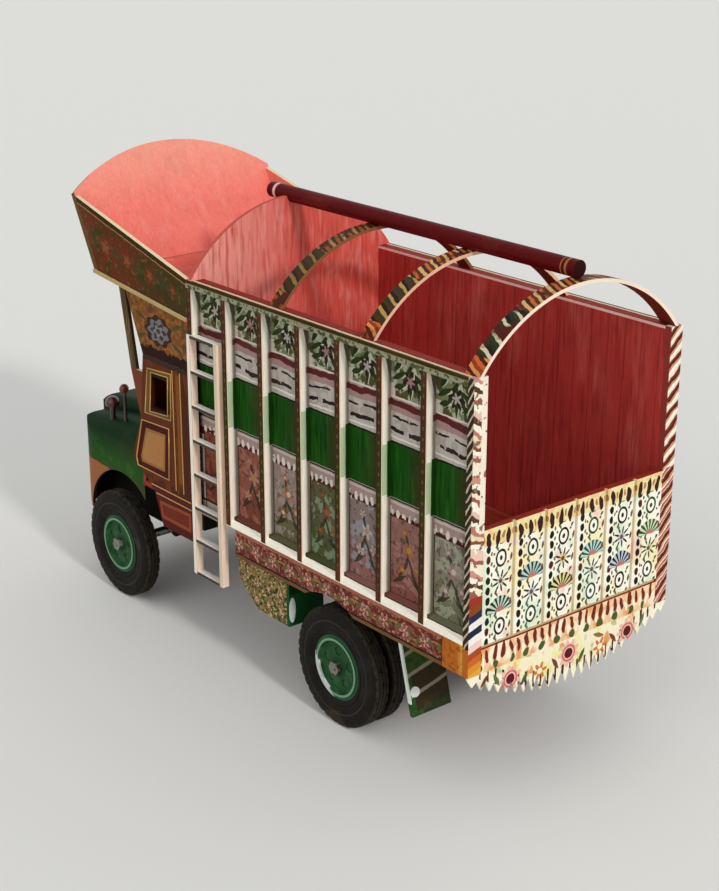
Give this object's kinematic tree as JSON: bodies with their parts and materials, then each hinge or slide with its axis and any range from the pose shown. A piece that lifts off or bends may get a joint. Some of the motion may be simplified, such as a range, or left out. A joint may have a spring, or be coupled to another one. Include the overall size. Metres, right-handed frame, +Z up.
{
  "type": "decorated toy truck",
  "caption": "Hand-made model of a decorated cargo truck: ribbed painted load box, hoops, leaning crown over the cab, rounded nose and free-turning wheels.",
  "frame": {"origin": "on the floor plane under the middle of the truck's box", "axes": "+X towards the nose, +Y to the truck's left side, +Z up"},
  "size_m": [0.563, 0.212, 0.4038],
  "materials": {
    "frame_paint": "satin",
    "steel": "satin",
    "cream_paint": "satin",
    "inside_red": "matte",
    "side_paint": "satin",
    "rib_paint": "satin",
    "rail_paint": "satin",
    "tail_paint": "satin",
    "hoop_paint": "satin",
    "pole_paint": "gloss",
    "crown_paint": "satin",
    "cab_paint": "gloss",
    "frame_white": "gloss",
    "glass": "clear",
    "nose_green": "gloss",
    "bright_metal": "polished",
    "lamp_glass": "clear",
    "lamp_red": "gloss",
    "lamp_amber": "gloss",
    "flap_green": "satin",
    "tyre": "matte",
    "rim_green": "gloss"
  },
  "bodies": {
    "truck": {"chassis": "frame_paint", "front_axle": "steel", "rear_axle": "steel", "toolbox_left": "rail_paint", "ladder_left": "cream_paint", "box_floor": "inside_red", "wall_left": "side_paint", "wall_right": "side_paint", "frame_left": "rib_paint", "frame_right": "rib_paint", "valance_left": "rail_paint", "valance_right": "rail_paint", "bulkhead": "inside_red", "tailgate": "tail_paint", "tail_fringe": "tail_paint", "hoop_rear": "hoop_paint", "hoop_middle": "hoop_paint", "hoop_front": "hoop_paint", "ridge_pole": "pole_paint", "crown_deck": "crown_paint", "crown_front": "crown_paint", "crown_side_left": "crown_paint", "crown_side_right": "crown_paint", "forehead_front": "crown_paint", "forehead_side_left": "cab_paint", "forehead_side_right": "cab_paint", "cab_floor": "inside_red", "cab_back": "cab_paint", "cab_roof": "cab_paint", "cab_front": "cab_paint", "cab_side_left": "cab_paint", "cab_side_right": "cab_paint", "wing_left": "cream_paint", "wing_right": "cream_paint", "windscreen_frame": "frame_white", "windscreen": "glass", "bonnet": "nose_green", "fender_left": "nose_green", "fender_right": "nose_green", "grille": "bright_metal", "headlamps": "lamp_glass", "bumper": "bright_metal", "fender_lamps": "lamp_red", "corner_lamps": "lamp_amber", "rear_post_left": "tail_paint", "rear_post_right": "tail_paint", "mud_flap_left": "flap_green", "mud_flap_right": "flap_green"},
    "wheel_front_left": {"tyre_front_left": "tyre", "rim_front_left": "rim_green"},
    "wheel_front_right": {"tyre_front_right": "tyre", "rim_front_right": "rim_green"},
    "wheel_rear_left": {"tyre_rear_left": "tyre", "rim_rear_left": "rim_green"},
    "wheel_rear_right": {"tyre_rear_right": "tyre", "rim_rear_right": "rim_green"}
  },
  "joints": [
    {"name": "wheel_front_left_spin", "type": "hinge", "parent": "truck", "child": "wheel_front_left", "pos_m": [0.1965, 0, 0.05], "axis": [0, 1, 0], "continuous": true},
    {"name": "wheel_front_right_spin", "type": "hinge", "parent": "truck", "child": "wheel_front_right", "pos_m": [0.1965, 0, 0.05], "axis": [0, 1, 0], "continuous": true},
    {"name": "wheel_rear_left_spin", "type": "hinge", "parent": "truck", "child": "wheel_rear_left", "pos_m": [-0.1235, 0, 0.05], "axis": [0, 1, 0], "continuous": true},
    {"name": "wheel_rear_right_spin", "type": "hinge", "parent": "truck", "child": "wheel_rear_right", "pos_m": [-0.1235, 0, 0.05], "axis": [0, 1, 0], "continuous": true}
  ]
}
